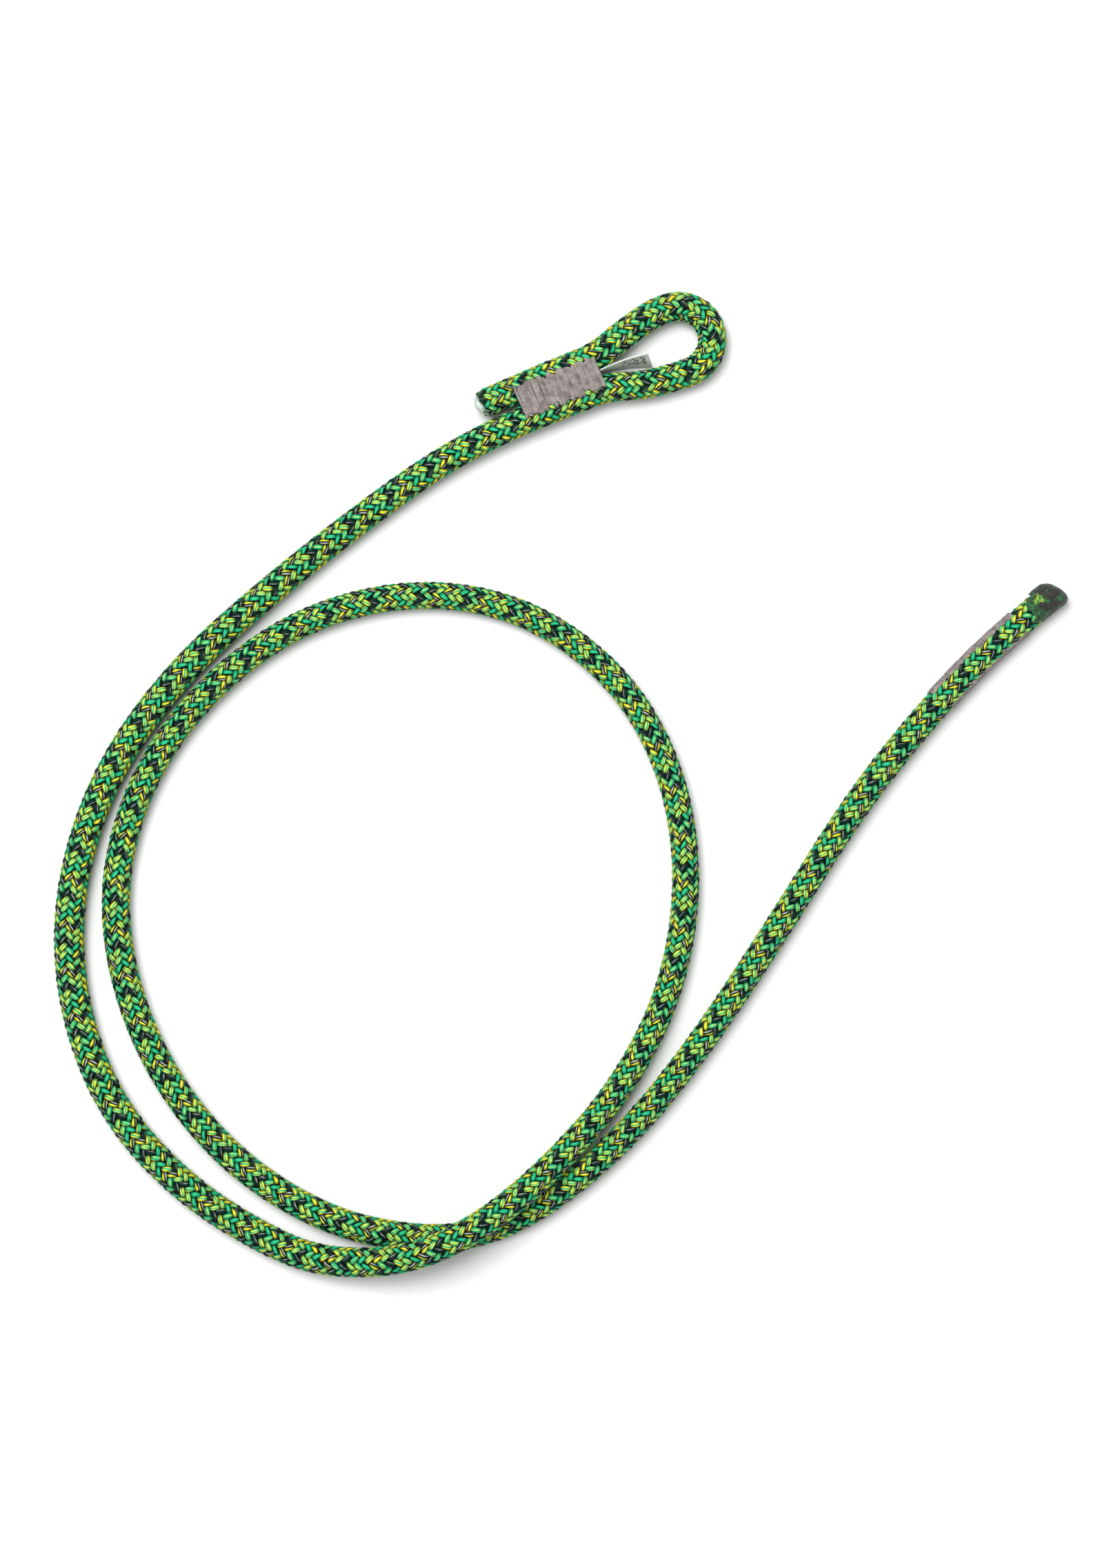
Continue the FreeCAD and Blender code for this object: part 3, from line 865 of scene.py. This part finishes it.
def tail_cap_profile(along, angle):
    """Round from the inside of the skirt, over its lip and along the wall to the middle of the face."""
    angles, edges = np.array(SKIRT_EDGE).T
    skirt = np.interp(np.degrees(angle), angles, edges)
    skirt = skirt + SKIRT_RAGGED * lumps_round(angle, 5, 11) + SKIRT_FRAYED * lumps_round(angle, 14, 4)
    lumps = CAP_LUMPS * lumps_round(angle, 3 + 4 * along, 5)
    lumps = lumps + CAP_CREASES * lumps_round(angle, 9 - 5 * along, 8)
    rim = CAP_RADIUS + CAP_LEANS_LEFT * np.cos(angle) + lumps
    lip = np.clip(along / LIP_SHARE, 0, 1)
    wall = np.clip((along - LIP_SHARE) / WALL_SHARE, 0, 1)
    face = np.clip((along - LIP_SHARE - WALL_SHARE) / WALL_SHARE, 0, 1)
    thin = SKIRT_THINNER * np.clip(1 - wall * 2.5, 0, 1) * np.clip(0.5 + np.sin(angle), 0, 1)
    out = CAP_INSIDE + (rim - thin - CAP_INSIDE) * np.sin(lip * math.pi / 2)
    out = np.where(face > 0, np.maximum(rim * (1 - face), CAP_MIDDLE_HOLE), out)
    front = cap_front(angle, out, rim) + FACE_LUMPS * lumps_round(angle, 2 + 3 * face, 21) * (1 - face)
    back = -skirt + SKIRT_LIP * (1 - lip)
    beyond = np.where(face > 0, front, back + (cap_front(angle, rim, rim) - back) * wall)
    return ROPE_LENGTH + beyond, out


# Stub cap: the core's fused end stands out of the braid as a shallow dome
DOME_RADIUS = 0.00478
DOME_HEIGHT = 0.0032
DOME_EDGE = 0.0006
DOME_FROM = -0.0002
DOME_POWER = 2.3
DOME_LEAN = 0.00045
DOME_TILT = 0.12
DOME_TOP_REACH = 0.10
DOME_WALL_SHARE = 0.15
DOME_UNDERCUT = 0.25


def stub_cap_profile(along, angle):
    """Up the wall from under the braid, and over the dome to its middle."""
    wall = np.clip(along / DOME_WALL_SHARE, 0, 1)
    face = np.clip((along - DOME_WALL_SHARE) / (1 - DOME_WALL_SHARE), 0, 1)
    lumps = 1 + 0.03 * lumps_round(angle, 2 + 3 * along, 2)
    inside = 1 - DOME_UNDERCUT * (1 - wall)
    rim = DOME_RADIUS * lumps * inside - DOME_LEAN * np.cos(angle)
    out = np.maximum(rim * (1 - face), CAP_MIDDLE_HOLE)
    dome = DOME_EDGE + (DOME_HEIGHT - DOME_EDGE) * (1 - (1 - face) ** DOME_POWER)
    beyond = np.where(face > 0, dome, DOME_FROM + (DOME_EDGE - DOME_FROM) * wall)
    top_reach = DOME_TOP_REACH * out * np.clip(np.sin(angle), 0, 1)
    beyond = beyond + DOME_TILT * out * np.cos(angle) + top_reach
    return -beyond, out


BRIGHT_SPOT = (0.1598, 0.0620, 0.0093)
SCORCHED_SPOT = (-0.0279, 0.1318, 0.0070)


def melted_material():
    """Sheath melted to a dark wrinkled skin, with green and yellow smears where it ran."""
    look = Recipe("melted_sheath", specular_ior_level=0.35)
    place = look.place()
    ahead, away = look.beyond(TAIL_END, TAIL_OUTWARDS)
    smears = look.noise(place, 330.0, 4.0, 0.6)
    fine = look.noise(place, 1100.0, 3.0, 0.6)
    dark = look.mix(look.span(fine, 0.35, 0.65, 0.0, 1.0), paint(10, 13, 9), paint(40, 38, 28))
    green = look.mix(look.span(fine, 0.40, 0.60, 0.0, 1.0), paint(4, 52, 30), paint(20, 124, 72))
    skin = look.mix(look.span(smears, 0.52, 0.62, 0.0, 0.90), dark, green)
    near_edge = look.maths("MULTIPLY", look.span(ahead, -0.0045, -0.0085, 0.0, 1.0),
                           look.span(look.noise(place, 800.0, 3.0, 0.6), 0.44, 0.62, 0.0, 1.0))
    skin = look.mix(near_edge, skin, paint(28, 132, 62))
    window = look.distance_from(BRIGHT_SPOT)
    ragged = look.maths("MULTIPLY_ADD", look.noise(place, 420.0, 4.0, 0.7), 0.0090, window)
    glow = look.mix(look.span(fine, 0.46, 0.54, 0.0, 1.0), paint(20, 132, 56), paint(186, 196, 44))
    skin = look.mix(look.span(ragged, 0.0064, 0.0058, 0.0, 1.0), skin, glow)
    look.colour(skin)
    look.put(look.shader.inputs["Roughness"], look.span(smears, 0.3, 0.7, 0.50, 0.32))
    wrinkles = look.noise(place, 620.0, 5.0, 0.7)
    look.bump(wrinkles, 0.0007)
    return look.material


def stub_material():
    """Fused core: milky with a mint tint, and scorched where the sheath burnt against it."""
    look = Recipe("fused_core", roughness=0.42, specular_ior_level=0.4, subsurface_weight=0.15)
    look.shader.inputs["Subsurface Scale"].default_value = 0.002
    along, around = look.uv()
    place = look.place()
    cloudy = look.noise(place, 380.0, 3.0)
    milky = look.mix(look.span(cloudy, 0.42, 0.66, 0.0, 1.0), paint(228, 236, 230), paint(168, 208, 188))
    edge = look.maths("MULTIPLY_ADD", look.noise(place, 800.0, 3.0), 0.10, along)
    skin = look.mix(look.span(edge, 0.22, 0.30, 0.70, 0.0), milky, paint(96, 110, 98))
    ragged = look.maths("MULTIPLY_ADD", look.noise(place, 900.0, 3.0), 0.0016,
                        look.distance_from(SCORCHED_SPOT))
    look.colour(look.mix(look.span(ragged, 0.0026, 0.0018, 0.0, 0.92), skin, paint(30, 40, 30)))
    look.bump(look.noise(place, 700.0, 3.0), 0.0003)
    return look.material


tail_cap = new_piece("tail_melted_end", melted_end("tail_melted_end", tail_cap_profile), "tail",
                     melted_material())
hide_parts("tail_end_cap")
stub_cap = new_piece("stub_melted_end", melted_end("stub_melted_end", stub_cap_profile), "eye",
                     stub_material())
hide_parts("stub_end_cap")

# Label: a strip of coated tape that comes out of the throat on edge and leans over at its tip
LABEL_ROOT_TOP = Vector((0.0134, 0.1381, 0.0105))
LABEL_ROOT_BOTTOM = Vector((0.0134, 0.1381, 0.0007))
LABEL_TIP_TOP = Vector((0.0293, 0.1438, 0.0098))
LABEL_TIP_BOTTOM = Vector((0.0311, 0.1399, 0.0009))
LABEL_BOW = 0.0005
LABEL_THICKNESS = 0.00030
LABEL_CORNER = 0.10
LABEL_CORNER_CUT = 0.035
LABEL_ROWS = 7.0
LABEL_MARKS = 46.0
UP_VECTOR = Vector((0.0, 0.0, 1.0))


def label_mesh():
    """The tape between its root and its tip, twisting mostly near the root."""
    tape = bmesh.new()
    uv = tape.loops.layers.uv.new("UVMap")
    bmesh.ops.create_grid(tape, x_segments=36, y_segments=20, size=0.5,
                          matrix=Matrix.Translation((0.5, 0.5, 0.0)))
    for face in tape.faces:
        face.smooth = True
        for loop in face.loops:
            loop[uv].uv = loop.vert.co.xy
    aside = UP_VECTOR.cross(LABEL_TIP_TOP - LABEL_ROOT_TOP).normalized()
    for vertex in tape.verts:
        along, across = vertex.co.x, vertex.co.y
        corner = max(abs(across - 0.5) - (0.5 - LABEL_CORNER), 0.0) / LABEL_CORNER
        along *= 1 - LABEL_CORNER_CUT * corner**2
        root = LABEL_ROOT_BOTTOM.lerp(LABEL_ROOT_TOP, across)
        tip = LABEL_TIP_BOTTOM.lerp(LABEL_TIP_TOP, across)
        vertex.co = root.lerp(tip, along) + aside * LABEL_BOW * math.sin(math.pi * along)
    mesh = bpy.data.meshes.new("label_tape")
    tape.to_mesh(mesh)
    tape.free()
    return mesh


def label_material():
    """Coated white tape with rows of plain printed marks near its tip."""
    look = Recipe("label_tape", roughness=0.40, specular_ior_level=0.4)
    along, across = look.uv()
    weave_point = look.point(look.maths("MULTIPLY", along, 105.0), look.maths("MULTIPLY", across, 60.0))
    weave = look.node("ShaderNodeTexChecker", {"Vector": weave_point, "Scale": 1.0}).outputs["Fac"]
    mottle = look.noise(look.place(), 500.0, 3.0)
    tape = look.mix(mottle, paint(244, 245, 242), paint(254, 254, 252))
    tape = look.shaded(tape, look.span(weave, 0.0, 1.0, 0.97, 1.02))
    rows = look.maths("MULTIPLY", across, LABEL_ROWS)
    mark_point = look.point(look.maths("MULTIPLY", along, LABEL_MARKS), look.maths("FLOOR", rows))
    mark = look.node("ShaderNodeVectorMath", {0: mark_point}, operation="FLOOR").outputs["Vector"]
    drawn = look.node("ShaderNodeTexWhiteNoise", {"Vector": mark}).outputs["Value"]
    inked = look.maths("GREATER_THAN", drawn, 0.38)
    limits = (
        ("GREATER_THAN", look.maths("FRACT", rows), 0.40),
        ("GREATER_THAN", along, 0.45),
        ("LESS_THAN", along, 0.92),
        ("GREATER_THAN", across, 0.29),
        ("LESS_THAN", across, 0.86),
    )
    for operation, value, limit in limits:
        inked = look.maths("MULTIPLY", inked, look.maths(operation, value, limit))
    look.colour(look.mix(inked, tape, paint(44, 46, 44)))
    look.bump(weave, 0.00002)
    return look.material


label = new_piece("label_tape", label_mesh(), "label", label_material())
thickness = label.modifiers.new("thickness", "SOLIDIFY")
thickness.thickness = LABEL_THICKNESS
thickness.offset = 0.0
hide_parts("label")


# Floor and world: white to the camera and in reflections. The floor keeps the rope's shadow, and
# is lit up to white where it runs out of the lamps' reach
FLOOR_SIZE = 3.0
WORLD_LIGHT = 0.34
FLOOR_FADE_FROM = 0.45
FLOOR_FADE_TO = 1.30


def seen_directly(tree):
    """One for rays from the camera, off gloss and through clear things, and nought for others."""
    path = tree.nodes.new("ShaderNodeLightPath")
    seen = path.outputs["Is Camera Ray"]
    for other in ("Is Glossy Ray", "Is Transmission Ray"):
        larger = tree.nodes.new("ShaderNodeMath")
        larger.operation = "MAXIMUM"
        tree.links.new(seen, larger.inputs[0])
        tree.links.new(path.outputs[other], larger.inputs[1])
        seen = larger.outputs[0]
    return seen


def floor_material():
    look = Recipe("floor", roughness=1.0, specular_ior_level=0.0)
    seen = seen_directly(look.tree)
    look.colour(look.mix(seen, paint(150, 150, 150), paint(254, 254, 254)))
    from_middle = look.distance_from((0.0, 0.0, 0.0))
    lit = look.span(from_middle, FLOOR_FADE_FROM, FLOOR_FADE_TO, 0.0, 1.0 - WORLD_LIGHT)
    look.shader.inputs["Emission Color"].default_value = (1.0, 1.0, 1.0, 1.0)
    look.put(look.shader.inputs["Emission Strength"], look.maths("MULTIPLY", lit, seen))
    return look.material


floor_mesh = bpy.data.meshes.new("floor")
flat_floor = bmesh.new()
bmesh.ops.create_grid(flat_floor, x_segments=1, y_segments=1, size=FLOOR_SIZE / 2)
flat_floor.to_mesh(floor_mesh)
flat_floor.free()
floor = bpy.data.objects.new("floor", floor_mesh)
floor.data.materials.append(floor_material())
bpy.context.scene.collection.objects.link(floor)


def soft_lamp(name, place, size, power):
    """A square studio lamp that faces the rope."""
    data = bpy.data.lights.new(name, "AREA")
    data.size = size
    data.energy = power
    lamp = bpy.data.objects.new(name, data)
    lamp.location = place
    lamp.rotation_mode = "QUATERNION"
    lamp.rotation_quaternion = (-Vector(place)).to_track_quat("-Z", "Y")
    bpy.context.scene.collection.objects.link(lamp)


soft_lamp("key_lamp", (-0.5, 0.6, 1.7), 1.2, 36.0)
soft_lamp("fill_lamp", (1.2, -0.5, 1.4), 1.4, 6.0)

world = bpy.data.worlds.new("studio")
bpy.context.scene.world = world
world.use_nodes = True
background = world.node_tree.nodes["Background"]
background.inputs["Color"].default_value = (1.0, 1.0, 1.0, 1.0)
world_seen = world.node_tree.nodes.new("ShaderNodeMath")
world_seen.operation = "MAXIMUM"
world_seen.inputs[1].default_value = WORLD_LIGHT
world.node_tree.links.new(seen_directly(world.node_tree), world_seen.inputs[0])
world.node_tree.links.new(world_seen.outputs[0], background.inputs["Strength"])
